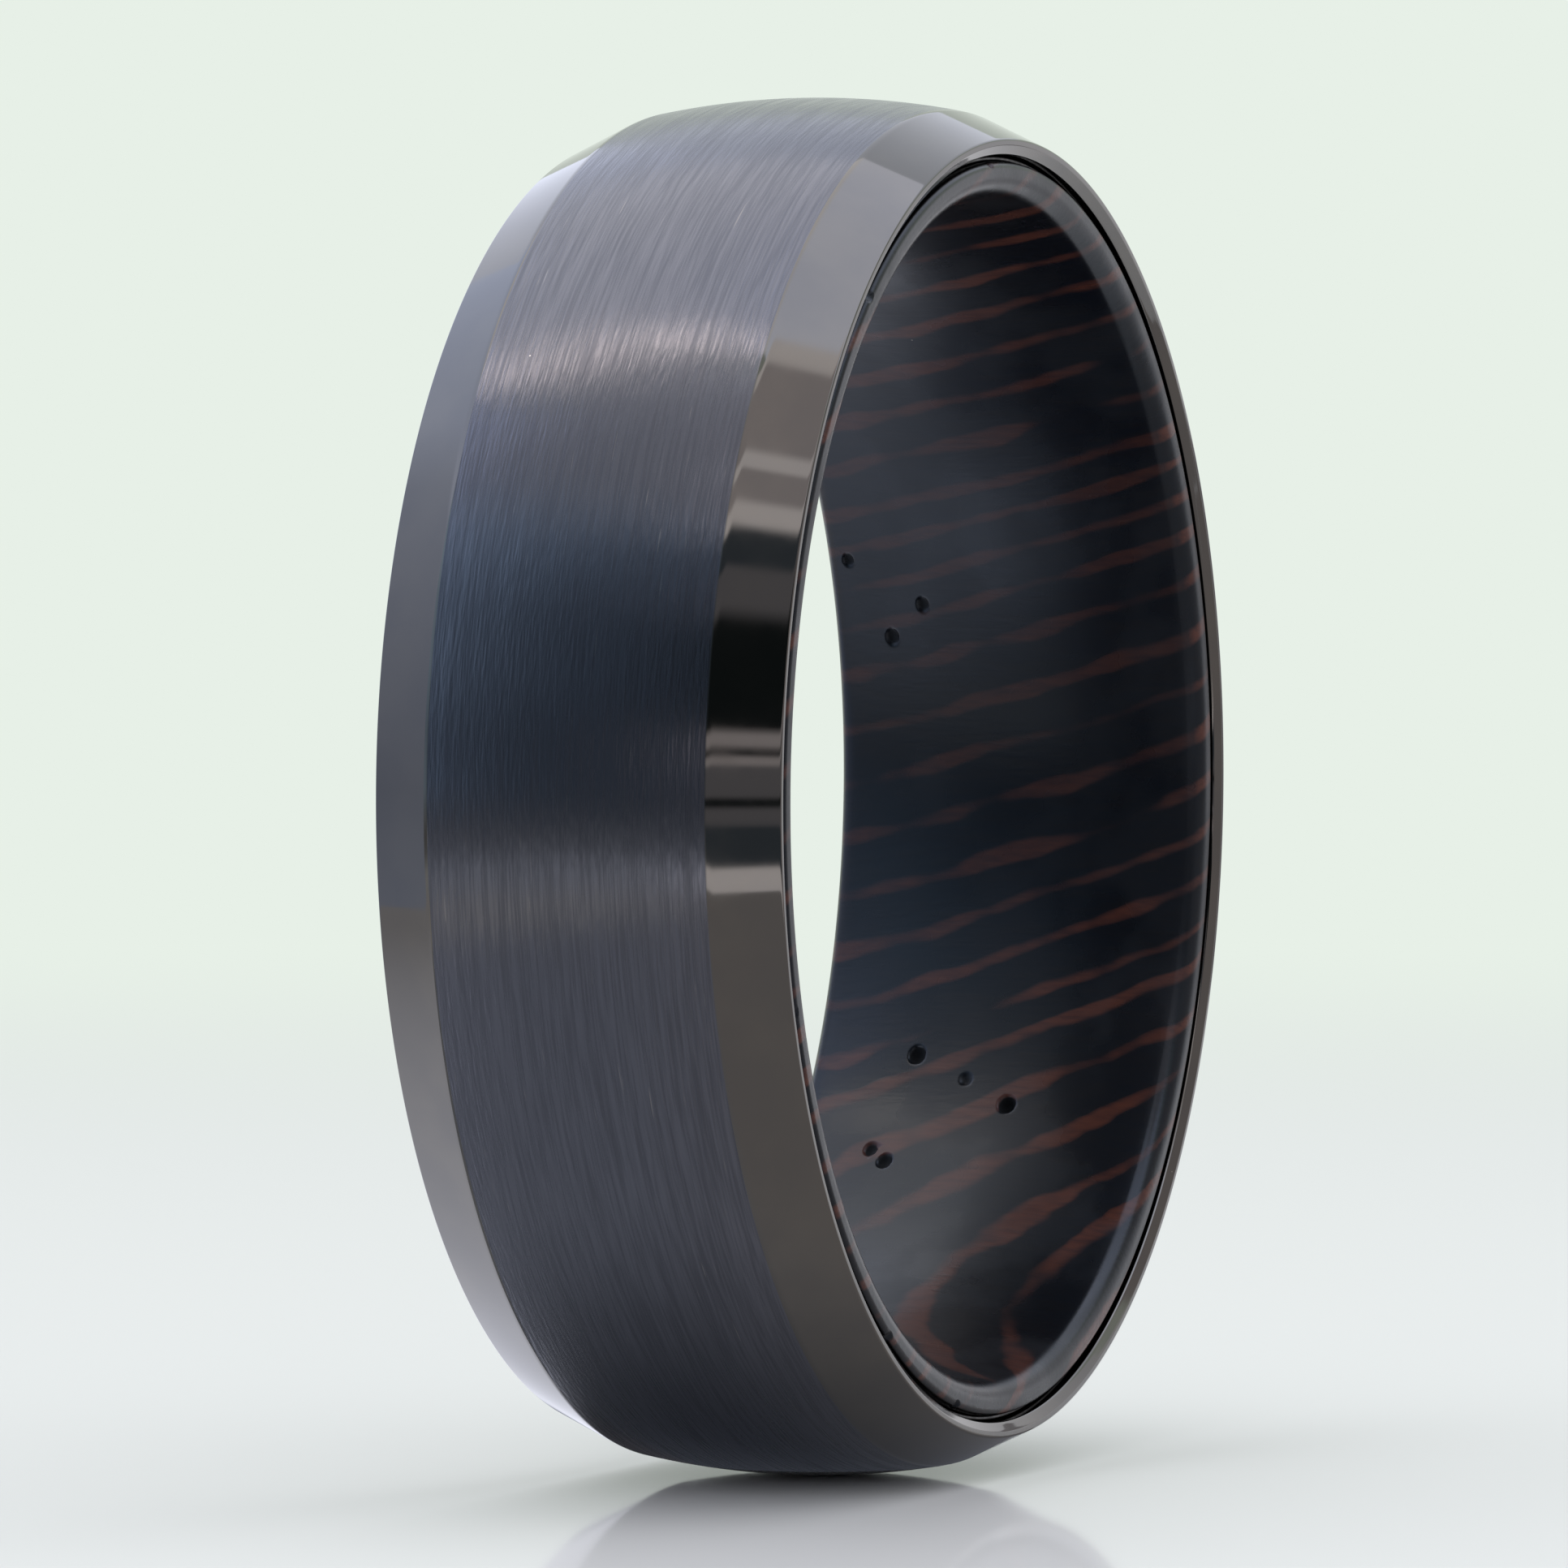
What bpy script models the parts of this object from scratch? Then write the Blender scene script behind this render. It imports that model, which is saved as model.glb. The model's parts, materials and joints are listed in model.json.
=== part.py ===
# Wedding band: a domed and bevelled metal shell, lined with a comfort-fit wood sleeve.
# The band stands on its edge, with its axis along Y and its centre at the origin. Lengths are in metres.
import math

import bmesh
import bpy

# Sizes of the wood sleeve
finger_diameter = 0.0194        # smallest bore, at the middle of the sleeve
wood_wall = 0.0008              # thickness at the middle of the sleeve
comfort_rise = 0.00028          # how far the bore opens from its middle to its ends
bore_end_round = 0.00025        # rounded mouth of the bore
wood_corner_round = 0.0001      # outer corner of each end, which leaves the groove beside the metal
wood_set_back = 0.00009         # how far the sleeve ends below the metal's end lands
mouth_share = 0.6               # most of the end's wall that the mouth may round off
corner_share = 0.3              # most of the end's wall that the outer corner may round off

# Sizes of the adhesive film
film_thickness = 0.00006
film_clearance = 0.00002        # between the film and each of its neighbours
film_recess = 0.0001            # how far the film ends below the ends of the sleeve

# Sizes of the metal shell
band_width = 0.007              # overall, from end land to end land
metal_wall = 0.001              # thickness under the crown of the dome
dome_rise = 0.00023             # crown above the edges of the dome
bevel_width = 0.00106           # along the axis, at each end
land_width = 0.0001             # flat ring at each end, on which the band can lie
inner_bevel_width = 0.00018     # from the land in to the metal's bore
inner_bevel_depth = 0.0001      # how far that bevel falls towards the groove
lip_round = 0.00005             # where the land meets the bevel
metal_bore_round = 0.00005      # where that bevel turns into the metal's bore

# How finely the curves are divided
turn_steps = 98                 # not a multiple of four, so the band stands on a facet and not on a corner
dome_steps = 11                 # odd, so the crown is a facet too
bore_steps = 8
mouth_steps = 7
corner_steps = 2
crisp_angle = math.radians(12)  # edges sharper than this stay crisp under smooth shading

# Sizes that follow from those above
half_width = band_width / 2
finger_radius = finger_diameter / 2
wood_radius = finger_radius + wood_wall
wood_half = half_width - wood_set_back
film_inner_radius = wood_radius + film_clearance
film_outer_radius = film_inner_radius + film_thickness
film_half = wood_half - film_recess
metal_bore_radius = film_outer_radius + film_clearance
crown_radius = metal_bore_radius + metal_wall
dome_edge_radius = crown_radius - dome_rise
dome_half = half_width - bevel_width
land_radius = metal_bore_radius + inner_bevel_width
rim_radius = land_radius + land_width


# The radius of the arc that stands this rise above a chord of this half length
def arc_radius(half_chord, rise):
    return (half_chord ** 2 + rise ** 2) / (2 * rise)


def arc_points(centre, radius, start_angle, end_angle, steps):
    points = []
    for step in range(steps + 1):
        angle = start_angle + (end_angle - start_angle) * step / steps
        points.append((centre[0] + radius * math.cos(angle), centre[1] + radius * math.sin(angle)))
    return points


def direction(start, end):
    length = math.dist(start, end)
    return (end[0] - start[0]) / length, (end[1] - start[1]) / length


# The corner between two straight runs, replaced by an arc that is tangent to both
def rounded_corner(before, corner, after, radius):
    back = direction(corner, before)
    ahead = direction(corner, after)
    half_angle = math.acos(back[0] * ahead[0] + back[1] * ahead[1]) / 2
    reach = radius / math.tan(half_angle)
    start = (corner[0] + back[0] * reach, corner[1] + back[1] * reach)
    end = (corner[0] + ahead[0] * reach, corner[1] + ahead[1] * reach)
    middle = direction((0, 0), (back[0] + ahead[0], back[1] + ahead[1]))
    distance = radius / math.sin(half_angle)
    centre = (corner[0] + middle[0] * distance, corner[1] + middle[1] * distance)
    start_angle = math.atan2(start[1] - centre[1], start[0] - centre[0])
    end_angle = math.atan2(end[1] - centre[1], end[0] - centre[0])
    sweep = math.remainder(end_angle - start_angle, math.tau)
    return arc_points(centre, radius, start_angle, start_angle + sweep, corner_steps)


# The same end at the other side of the band, run the other way
def opposite_end(points):
    return [(radius, -height) for radius, height in reversed(points)]


# A profile is a section of the ring as points of (radius, height along the axis). It runs over the top end,
# down the outer side, over the bottom end and back up the inner side.

# Metal: inner bevel, flat land, straight bevel, domed face
def outer_band_profile():
    bore_wall = (metal_bore_radius, 0)
    bore_corner = (metal_bore_radius, half_width - inner_bevel_depth)
    land_corner = (land_radius, half_width)
    rim_corner = (rim_radius, half_width)
    dome_edge = (dome_edge_radius, dome_half)
    top_end = rounded_corner(bore_wall, bore_corner, land_corner, metal_bore_round) + [land_corner]
    top_end += rounded_corner(land_corner, rim_corner, dome_edge, lip_round)
    dome_radius = arc_radius(dome_half, dome_rise)
    dome_centre = (crown_radius - dome_radius, 0)
    edge_angle = math.asin(dome_half / dome_radius)
    dome = arc_points(dome_centre, dome_radius, edge_angle, -edge_angle, dome_steps)
    return top_end + dome + opposite_end(top_end)


# Adhesive: a plain thin tube
def bond_film_profile():
    top_end = [(film_inner_radius, film_half), (film_outer_radius, film_half)]
    return top_end + opposite_end(top_end)


# Wood: a bore that swells towards the finger, with round mouths that are tangent to the bore and the ends
def wood_sleeve_profile():
    end_wall = wood_wall - comfort_rise
    mouth_round = min(bore_end_round, mouth_share * end_wall)
    corner_round = min(wood_corner_round, corner_share * end_wall)
    bore_radius = arc_radius(wood_half, comfort_rise)
    bore_centre = (finger_radius + bore_radius, 0)
    mouth_height = wood_half - mouth_round
    mouth_angle = math.pi - math.asin(mouth_height / (bore_radius - mouth_round))
    mouth_centre = (bore_centre[0] + (bore_radius - mouth_round) * math.cos(mouth_angle), mouth_height)
    mouth = arc_points(mouth_centre, mouth_round, mouth_angle, math.pi / 2, mouth_steps)
    end_face = (mouth_centre[0], wood_half)
    corner = (wood_radius, wood_half)
    outer_wall = (wood_radius, 0)
    top_end = mouth + rounded_corner(end_face, corner, outer_wall, corner_round)
    bore = arc_points(bore_centre, bore_radius, math.tau - mouth_angle, mouth_angle, bore_steps)
    return top_end + opposite_end(top_end) + bore[1:-1]


def finish_material(name, colour, metallic, roughness):
    material = bpy.data.materials.new(name)
    material.use_nodes = True
    shader = material.node_tree.nodes["Principled BSDF"]
    shader.inputs["Base Color"].default_value = (*colour, 1)
    shader.inputs["Metallic"].default_value = metallic
    shader.inputs["Roughness"].default_value = roughness
    material.diffuse_color = (*colour, 1)
    return material


# Turns a profile once round its own Z axis and hangs the ring on the band's axis
def add_ring(name, profile, material, axis):
    shape = bmesh.new()
    verts = [shape.verts.new((radius, 0, height)) for radius, height in profile]
    edges = [shape.edges.new(pair) for pair in zip(verts, verts[1:] + verts[:1])]
    bmesh.ops.spin(
        shape,
        geom=verts + edges,
        cent=(0, 0, 0),
        axis=(0, 0, 1),
        angle=math.tau,
        steps=turn_steps,
        use_merge=True,
    )
    bmesh.ops.recalc_face_normals(shape, faces=shape.faces)
    for face in shape.faces:
        face.smooth = True
    for edge in shape.edges:
        edge.smooth = edge.calc_face_angle() < crisp_angle
    mesh = bpy.data.meshes.new(name)
    shape.to_mesh(mesh)
    shape.free()
    mesh.materials.append(material)
    ring = bpy.data.objects.new(name, mesh)
    ring.parent = axis
    bpy.context.collection.objects.link(ring)
    return ring


def build_band():
    axis = bpy.data.objects.new("band_axis", None)
    axis.rotation_euler = (math.pi / 2, 0, 0)
    bpy.context.collection.objects.link(axis)
    plated_metal = finish_material("plated_metal", colour=(0.15, 0.15, 0.165), metallic=1, roughness=0.3)
    adhesive = finish_material("dark_adhesive", colour=(0.006, 0.006, 0.007), metallic=0, roughness=0.6)
    dark_wood = finish_material("dark_wood", colour=(0.032, 0.02, 0.018), metallic=0, roughness=0.35)
    add_ring("outer_band", outer_band_profile(), plated_metal, axis)
    add_ring("bond_film", bond_film_profile(), adhesive, axis)
    add_ring("wood_sleeve", wood_sleeve_profile(), dark_wood, axis)


for leftover in list(bpy.data.objects):
    bpy.data.objects.remove(leftover)
build_band()
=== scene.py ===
import json
import math
import random

import bmesh
import bpy
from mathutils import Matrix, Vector


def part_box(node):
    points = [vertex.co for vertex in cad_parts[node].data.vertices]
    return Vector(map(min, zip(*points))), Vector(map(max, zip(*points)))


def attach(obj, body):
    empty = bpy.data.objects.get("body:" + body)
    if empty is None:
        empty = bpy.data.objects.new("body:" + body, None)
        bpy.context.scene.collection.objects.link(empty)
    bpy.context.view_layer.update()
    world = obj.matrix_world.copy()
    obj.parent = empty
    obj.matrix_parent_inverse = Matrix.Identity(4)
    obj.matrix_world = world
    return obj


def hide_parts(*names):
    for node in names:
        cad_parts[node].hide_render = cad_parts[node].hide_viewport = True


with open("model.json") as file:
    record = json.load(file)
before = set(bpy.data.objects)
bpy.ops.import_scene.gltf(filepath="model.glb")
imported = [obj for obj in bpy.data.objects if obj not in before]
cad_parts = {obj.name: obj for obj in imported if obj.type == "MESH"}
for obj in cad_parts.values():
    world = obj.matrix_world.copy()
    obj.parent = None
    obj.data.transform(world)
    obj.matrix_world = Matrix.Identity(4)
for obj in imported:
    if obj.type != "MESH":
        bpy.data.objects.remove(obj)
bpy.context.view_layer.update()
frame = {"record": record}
mm = 0.001

# Sizes that the frame already gives
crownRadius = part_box("outer_band")[1].z
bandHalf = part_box("outer_band")[1].y
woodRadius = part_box("wood_sleeve")[1].z
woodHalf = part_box("wood_sleeve")[1].y
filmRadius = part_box("bond_film")[1].z
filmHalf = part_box("bond_film")[1].y
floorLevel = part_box("outer_band")[0].z
fingerMount = next(mount for mount in frame["record"]["mounts"] if mount["name"] == "finger_bore")
fingerRadius = fingerMount["dims"]["r_mm"] * mm
print("frame loaded, band", round(crownRadius * 2 / mm, 2), "mm across")

# Camera of the photo
photoView = {
    "azimuth": -69.15,       # degrees round the band, 0 looks along its axis
    "elevation": 1.684,
    "distance": 200.8 * mm,
    "lens": 273.5,
    "sensor": 36,
    "frameSize": 1932,       # pixels
    "bandAcross": 1008.5,    # where the band's centre falls in the frame
    "bandDown": 969.0,
}


# Direction from the band towards a place at this azimuth and elevation
def towards(azimuth, elevation):
    a = math.radians(azimuth)
    e = math.radians(elevation)
    return Vector((math.sin(a) * math.cos(e), -math.cos(a) * math.cos(e), math.sin(e)))


def placeCamera():
    back = towards(photoView["azimuth"], photoView["elevation"])
    cameraData = bpy.data.cameras.new("photoCamera")
    cameraData.lens = photoView["lens"]
    cameraData.sensor_width = photoView["sensor"]
    cameraData.shift_x = 0.5 - photoView["bandAcross"] / photoView["frameSize"]
    cameraData.shift_y = photoView["bandDown"] / photoView["frameSize"] - 0.5
    cameraData.clip_start = 1 * mm
    cameraData.clip_end = 10
    camera = bpy.data.objects.new("photoCamera", cameraData)
    camera.location = back * photoView["distance"]
    camera.rotation_mode = "QUATERNION"
    camera.rotation_quaternion = (-back).to_track_quat("-Z", "Y")
    bpy.context.collection.objects.link(camera)
    bpy.context.scene.camera = camera


placeCamera()
print("camera placed")


# Node helpers: a value is set on a socket, and a socket is linked to it
def addNode(tree, kind, inputs=None, **settings):
    node = tree.nodes.new(kind)
    for key, value in settings.items():
        setattr(node, key, value)
    for key, value in (inputs or {}).items():
        if isinstance(value, bpy.types.NodeSocket):
            tree.links.new(value, node.inputs[key])
        else:
            node.inputs[key].default_value = value
    return node


def calc(tree, operation, first, second=0.0):
    return addNode(tree, "ShaderNodeMath", {0: first, 1: second}, operation=operation).outputs[0]


# Rises smoothly from 0 to 1 as the value goes from low to high
def rise(tree, value, low, high, floor=0.0, top=1.0):
    inputs = {"Value": value, "From Min": low, "From Max": high, "To Min": floor, "To Max": top}
    node = addNode(tree, "ShaderNodeMapRange", inputs, interpolation_type="SMOOTHSTEP")
    return node.outputs["Result"]


def fall(tree, value, low, high):
    return rise(tree, value, low, high, floor=1.0, top=0.0)


# Share of the way from low to high
def shareOf(tree, value, low, high):
    inputs = {"Value": value, "From Min": low, "From Max": high}
    return addNode(tree, "ShaderNodeMapRange", inputs).outputs["Result"]


def blendColour(tree, share, first, second, blendType="MIX"):
    inputs = {0: share, 6: first, 7: second}
    node = addNode(tree, "ShaderNodeMix", inputs, data_type="RGBA", blend_type=blendType)
    return node.outputs[2]


def axesOf(tree, vector):
    return addNode(tree, "ShaderNodeSeparateXYZ", {"Vector": vector}).outputs


def lengthOf(tree, vector):
    return addNode(tree, "ShaderNodeVectorMath", {0: vector}, operation="LENGTH").outputs["Value"]


def bumpNormal(tree, height, strength, depth):
    inputs = {"Height": height, "Strength": strength, "Distance": depth}
    return addNode(tree, "ShaderNodeBump", inputs).outputs["Normal"]


# Place on the surface in millimetres, stretched along each axis
def surfacePlace(tree, stretch=(1, 1, 1)):
    place = addNode(tree, "ShaderNodeTexCoord").outputs["Object"]
    scale = [axis / mm for axis in stretch]
    return addNode(tree, "ShaderNodeMapping", {"Vector": place, "Scale": scale}).outputs["Vector"]


def noiseValue(tree, vector, detail=2.0, roughness=0.5, scale=1.0):
    inputs = {"Vector": vector, "Scale": scale, "Detail": detail, "Roughness": roughness}
    return addNode(tree, "ShaderNodeTexNoise", inputs).outputs["Fac"]


# Noise as a distance either way, up to this reach
def stray(tree, noise, reach):
    return calc(tree, "MULTIPLY", calc(tree, "SUBTRACT", noise, 0.5), reach * 2)


def newFinish(name):
    material = bpy.data.materials.new(name)
    material.use_nodes = True
    tree = material.node_tree
    return material, tree, tree.nodes["Principled BSDF"]


# Specks of dust and faint smudges, shared by the metal and the wood
handlingLook = {
    "speckChance": 0.72,         # places that come out above this have a speck
    "smudgeRange": (0.35, 0.7),
}


def makeHandlingMarks():
    group = bpy.data.node_groups.new("handlingMarks", "ShaderNodeTree")
    for name, default in (("Speck Spacing", 0.6), ("Speck Size", 0.03), ("Smudge Size", 2.0)):
        socket = group.interface.new_socket(name, in_out="INPUT", socket_type="NodeSocketFloat")
        socket.default_value = default
    for name in ("Specks", "Smudges"):
        group.interface.new_socket(name, in_out="OUTPUT", socket_type="NodeSocketFloat")
    given = group.nodes.new("NodeGroupInput").outputs
    place = surfacePlace(group)
    cells = calc(group, "DIVIDE", 1.0, given["Speck Spacing"])
    dots = addNode(group, "ShaderNodeTexVoronoi", {"Vector": place, "Scale": cells})
    reach = calc(group, "MULTIPLY", dots.outputs["Distance"], given["Speck Spacing"])
    near = calc(group, "LESS_THAN", reach, given["Speck Size"])
    chance = addNode(group, "ShaderNodeSeparateColor", {"Color": dots.outputs["Color"]}).outputs["Red"]
    specks = calc(group, "MULTIPLY", near, calc(group, "GREATER_THAN", chance, handlingLook["speckChance"]))
    smudges = noiseValue(group, place, detail=4.0, scale=calc(group, "DIVIDE", 1.0, given["Smudge Size"]))
    result = group.nodes.new("NodeGroupOutput").inputs
    group.links.new(specks, result["Specks"])
    group.links.new(rise(group, smudges, *handlingLook["smudgeRange"]), result["Smudges"])
    return group


handlingMarks = makeHandlingMarks()


def addMarks(tree, look):
    node = tree.nodes.new("ShaderNodeGroup")
    node.node_tree = handlingMarks
    node.inputs["Speck Spacing"].default_value = look["speckSpacing"]
    node.inputs["Speck Size"].default_value = look["speckSize"]
    node.inputs["Smudge Size"].default_value = look["smudgeSize"]
    return node.outputs


# Finish of the dome: fine brushing that runs round the band
brushedLook = {
    "dark": (0.092, 0.096, 0.113, 1),
    "light": (0.126, 0.130, 0.152, 1),
    "scratch": (0.19, 0.185, 0.19, 1),
    "dust": (0.45, 0.44, 0.43, 1),
    "roughness": (0.20, 0.32),
    "fineLines": 25,             # lines in a millimetre across the band
    "broadLines": 9,
    "scratchLines": 22.5,
    "raggedLines": 20,
    "fineRun": 0.75,             # changes in a millimetre along a line
    "broadRun": 0.3,
    "scratchRun": 0.975,
    "raggedRun": 2.4,
    "fineShare": 0.65,           # of the tone, and the rest is broad
    "toneRange": (0.34, 0.66),   # from dark to light
    "roughRange": (0.3, 0.7),    # from rough to smooth
    "scratchRange": (0.73, 0.82),
    "anisotropy": 0.85,
    "depth": 0.006 * mm,
    "speckSpacing": 1.1,         # millimetres
    "speckSize": 0.014,
    "smudgeSize": 3.0,
}


def makeBrushedMetal():
    material, tree, shader = newFinish("brushedBlackMetal")
    look = brushedLook

    def lines(kind, detail, roughness=0.5):
        run = look[kind + "Run"]
        return noiseValue(tree, surfacePlace(tree, (run, look[kind + "Lines"], run)), detail, roughness)

    fine = lines("fine", detail=2.0, roughness=0.6)
    broad = lines("broad", detail=2.0)
    scratches = rise(tree, lines("scratch", detail=1.0), *look["scratchRange"])
    marks = addMarks(tree, look)
    fineTone = calc(tree, "MULTIPLY", fine, look["fineShare"])
    broadTone = calc(tree, "MULTIPLY", broad, 1 - look["fineShare"])
    tone = calc(tree, "ADD", fineTone, broadTone)
    colour = blendColour(tree, rise(tree, tone, *look["toneRange"]), look["dark"], look["light"])
    colour = blendColour(tree, scratches, colour, look["scratch"])
    colour = blendColour(tree, marks["Specks"], colour, look["dust"])
    low, high = look["roughness"]
    rough = rise(tree, tone, *look["roughRange"], floor=high, top=low)
    normal = bumpNormal(tree, lines("ragged", detail=1.0), 1.0, look["depth"])
    tangent = addNode(tree, "ShaderNodeTangent", direction_type="RADIAL", axis="Y")
    tree.links.new(colour, shader.inputs["Base Color"])
    tree.links.new(rough, shader.inputs["Roughness"])
    tree.links.new(normal, shader.inputs["Normal"])
    tree.links.new(tangent.outputs["Tangent"], shader.inputs["Tangent"])
    shader.inputs["Metallic"].default_value = 1
    shader.inputs["Anisotropic"].default_value = look["anisotropy"]
    shader.inputs["Anisotropic Rotation"].default_value = 0.25   # a quarter turn, along the lines
    return material


# Finish of the bevels, end lands and metal bore: a near mirror with faint smudges and dust
polishedLook = {
    "clean": (0.122, 0.118, 0.113, 1),
    "smudged": (0.134, 0.128, 0.119, 1),
    "dust": (0.40, 0.38, 0.36, 1),
    "roughness": (0.045, 0.085),
    "speckSpacing": 0.75,        # millimetres
    "speckSize": 0.011,
    "smudgeSize": 1.6,
}


def makePolishedMetal():
    material, tree, shader = newFinish("polishedBlackMetal")
    marks = addMarks(tree, polishedLook)
    colour = blendColour(tree, marks["Smudges"], polishedLook["clean"], polishedLook["smudged"])
    colour = blendColour(tree, marks["Specks"], colour, polishedLook["dust"])
    low, high = polishedLook["roughness"]
    rough = rise(tree, marks["Smudges"], 0.0, 1.0, floor=low, top=high)
    tree.links.new(colour, shader.inputs["Base Color"])
    tree.links.new(rough, shader.inputs["Roughness"])
    shader.inputs["Metallic"].default_value = 1
    return material


# Radius of the arc that stands this rise above a chord of this half length
def arcRadius(halfChord, height):
    return (halfChord ** 2 + height ** 2) / (2 * height)


# Sizes of the wood lining
woodShape = {
    "comfortRise": 0.28 * mm,    # how far the bore opens towards its ends
    "mouthRound": 0.34 * mm,
    "cornerRound": 0.11 * mm,    # beside the groove
    "turnSteps": 480,
    "boreSteps": 56,
    "mouthSteps": 10,
    "endSteps": 4,
    "cornerSteps": 5,
    "outsideSteps": 8,
}
# Dark wood cut from a solid block: tilted layers, with a red-brown line in each
woodLook = {
    "dark": (0.0020, 0.0032, 0.0060, 1),
    "brown": (0.0035, 0.0036, 0.0050, 1),
    "line": (0.098, 0.029, 0.016, 1),
    # painted shade in the pores, also the colour of the dark outer wall
    "hollow": (0.0008, 0.0008, 0.0010, 1),
    "dust": (0.2, 0.18, 0.16, 1),
    "sheen": (0.78, 0.88, 1.0, 1),         # painted light: a blue tint on the polish's reflections, for the room's bluish light
    "gloss": 0.32,
    "roughness": (0.24, 0.36),
    "poreRoughness": 0.75,
    "layerTilt": (-0.452, 0.281, 1.0),     # direction across the layers
    "layers": [                            # millimetres from the band's centre to each line, that way
        -11.3, -10.8, -10.1, -9.4, -8.6, -8.1, -7.35, -6.6, -5.8, -4.8, -3.85, -2.9, -1.85, -1.0,
        -0.2, 0.6, 1.3, 2.3, 3.3, 4.3, 5.3, 6.2, 7.1, 8.0, 8.9, 9.8, 10.7,
    ],
    "wander": 0.2,                         # millimetres that a layer strays either way
    "wanderScale": 0.33,                   # and how often it does in a millimetre
    "ripple": 0.1,
    "rippleScale": (1.4, 0.7, 1.4),
    "breakScale": (0.32, 0.6, 0.32),       # how often a line thins out
    "breakStep": 4.7,                      # so that no two lines do it alike
    "breakLevel": 0.52,
    "breakReach": 2.4,
    "lineRange": (0.45, 1.05),
    "lineStrength": (0.62, 0.26, 0.58),    # low down, halfway up and at the top: painted light, after how light falls in the bore
    "lowRange": (-9.0, -4.0),              # millimetres across the layers, from one to the next
    "highRange": (1.5, 7.0),
    "endStrength": 0.75,                   # and on the ends
    "endRange": (3.15, 3.38),              # millimetres along the band
    "fibreScale": (9, 1.3, 9),
    "brownRange": (0.35, 0.75),            # fibres that turn brown
    "fadeRange": (0.2, 0.7),               # and those that a line shows in best
    "fadeTo": 0.55,
    "poreRange": (0.008, 0.06),            # millimetres deep, from open wood to a pore in full painted shade
    "poreMargin": 0.02,                    # millimetres without pores at the mouths
    "poreWall": 0.25,                      # and under the outer wall
    "wallSkin": (0.04, 0.005),             # that wall is dark, from this far under its surface
    "lineRelief": 0.5,
    "grainStrength": 0.5,
    "grainDepth": 0.006 * mm,
    "speckSpacing": 0.9,                   # millimetres
    "speckSize": 0.012,
    "smudgeSize": 2.2,
}


# Counts the layers up to a height, with each line at a whole number
def countLayers(tree, height):
    layers = woodLook["layers"]
    low = layers[0] - 1
    high = layers[-1] + 1
    curve = addNode(tree, "ShaderNodeFloatCurve", {"Value": shareOf(tree, height, low, high)})
    knots = curve.mapping.curves[0].points
    last = len(layers) + 1
    for index, place in enumerate(layers):
        knots.new((place - low) / (high - low), (index + 1) / last)
    for knot in knots:
        knot.handle_type = "VECTOR"
    curve.mapping.update()
    return calc(tree, "MULTIPLY", curve.outputs["Value"], last)


# Red-brown lines along the layers, which thin out and break
def woodLines(tree, place, fibres):
    look = woodLook
    tilt = addNode(tree, "ShaderNodeVectorMath", {0: place, 1: look["layerTilt"]}, operation="DOT_PRODUCT")
    wander = stray(tree, noiseValue(tree, place, scale=look["wanderScale"]), look["wander"])
    ripple = stray(tree, noiseValue(tree, surfacePlace(tree, look["rippleScale"])), look["ripple"])
    height = calc(tree, "ADD", tilt.outputs["Value"], calc(tree, "ADD", wander, ripple))
    count = countLayers(tree, height)
    inputs = {
        "Vector": surfacePlace(tree, look["breakScale"]),
        "W": calc(tree, "MULTIPLY", calc(tree, "ROUND", count), look["breakStep"]),
        "Scale": 1,
    }
    breaks = addNode(tree, "ShaderNodeTexNoise", inputs, noise_dimensions="4D").outputs["Fac"]
    breaks = calc(tree, "MULTIPLY", calc(tree, "SUBTRACT", breaks, look["breakLevel"]), look["breakReach"])
    crest = calc(tree, "COSINE", calc(tree, "MULTIPLY", count, math.tau))
    lines = rise(tree, calc(tree, "ADD", crest, breaks), *look["lineRange"])
    lines = calc(tree, "MULTIPLY", lines, rise(tree, fibres, *look["fadeRange"], floor=look["fadeTo"]))
    # Painted light: the lines are stronger low down and at the top than halfway up, standing in for how light
    # falls in the bore
    lowest, halfway, highest = look["lineStrength"]
    below = rise(tree, height, *look["lowRange"], floor=lowest, top=halfway)
    above = rise(tree, height, *look["highRange"], top=highest - halfway)
    aside = calc(tree, "ABSOLUTE", axesOf(tree, place)["Y"])
    onEnds = rise(tree, aside, *look["endRange"], top=look["endStrength"])
    strength = calc(tree, "MAXIMUM", calc(tree, "ADD", below, above), onEnds)
    return calc(tree, "MULTIPLY", lines, strength)


# Pores are the places that lie deeper than the bore's own curve, and they get painted shade
def poreMask(tree, place, reach):
    along = axesOf(tree, place)["Y"]
    curveShare = mm / (2 * arcRadius(woodHalf, woodShape["comfortRise"]))
    boreReach = calc(tree, "MULTIPLY", calc(tree, "MULTIPLY", along, along), curveShare)
    depth = calc(tree, "SUBTRACT", calc(tree, "SUBTRACT", reach, boreReach), fingerRadius / mm)
    boreHalf = (woodHalf - woodShape["mouthRound"]) / mm - woodLook["poreMargin"]
    inside = calc(tree, "LESS_THAN", calc(tree, "ABSOLUTE", along), boreHalf)
    within = calc(tree, "LESS_THAN", reach, woodRadius / mm - woodLook["poreWall"])
    inside = calc(tree, "MULTIPLY", inside, within)
    return calc(tree, "MULTIPLY", rise(tree, depth, *woodLook["poreRange"]), inside)


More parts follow.
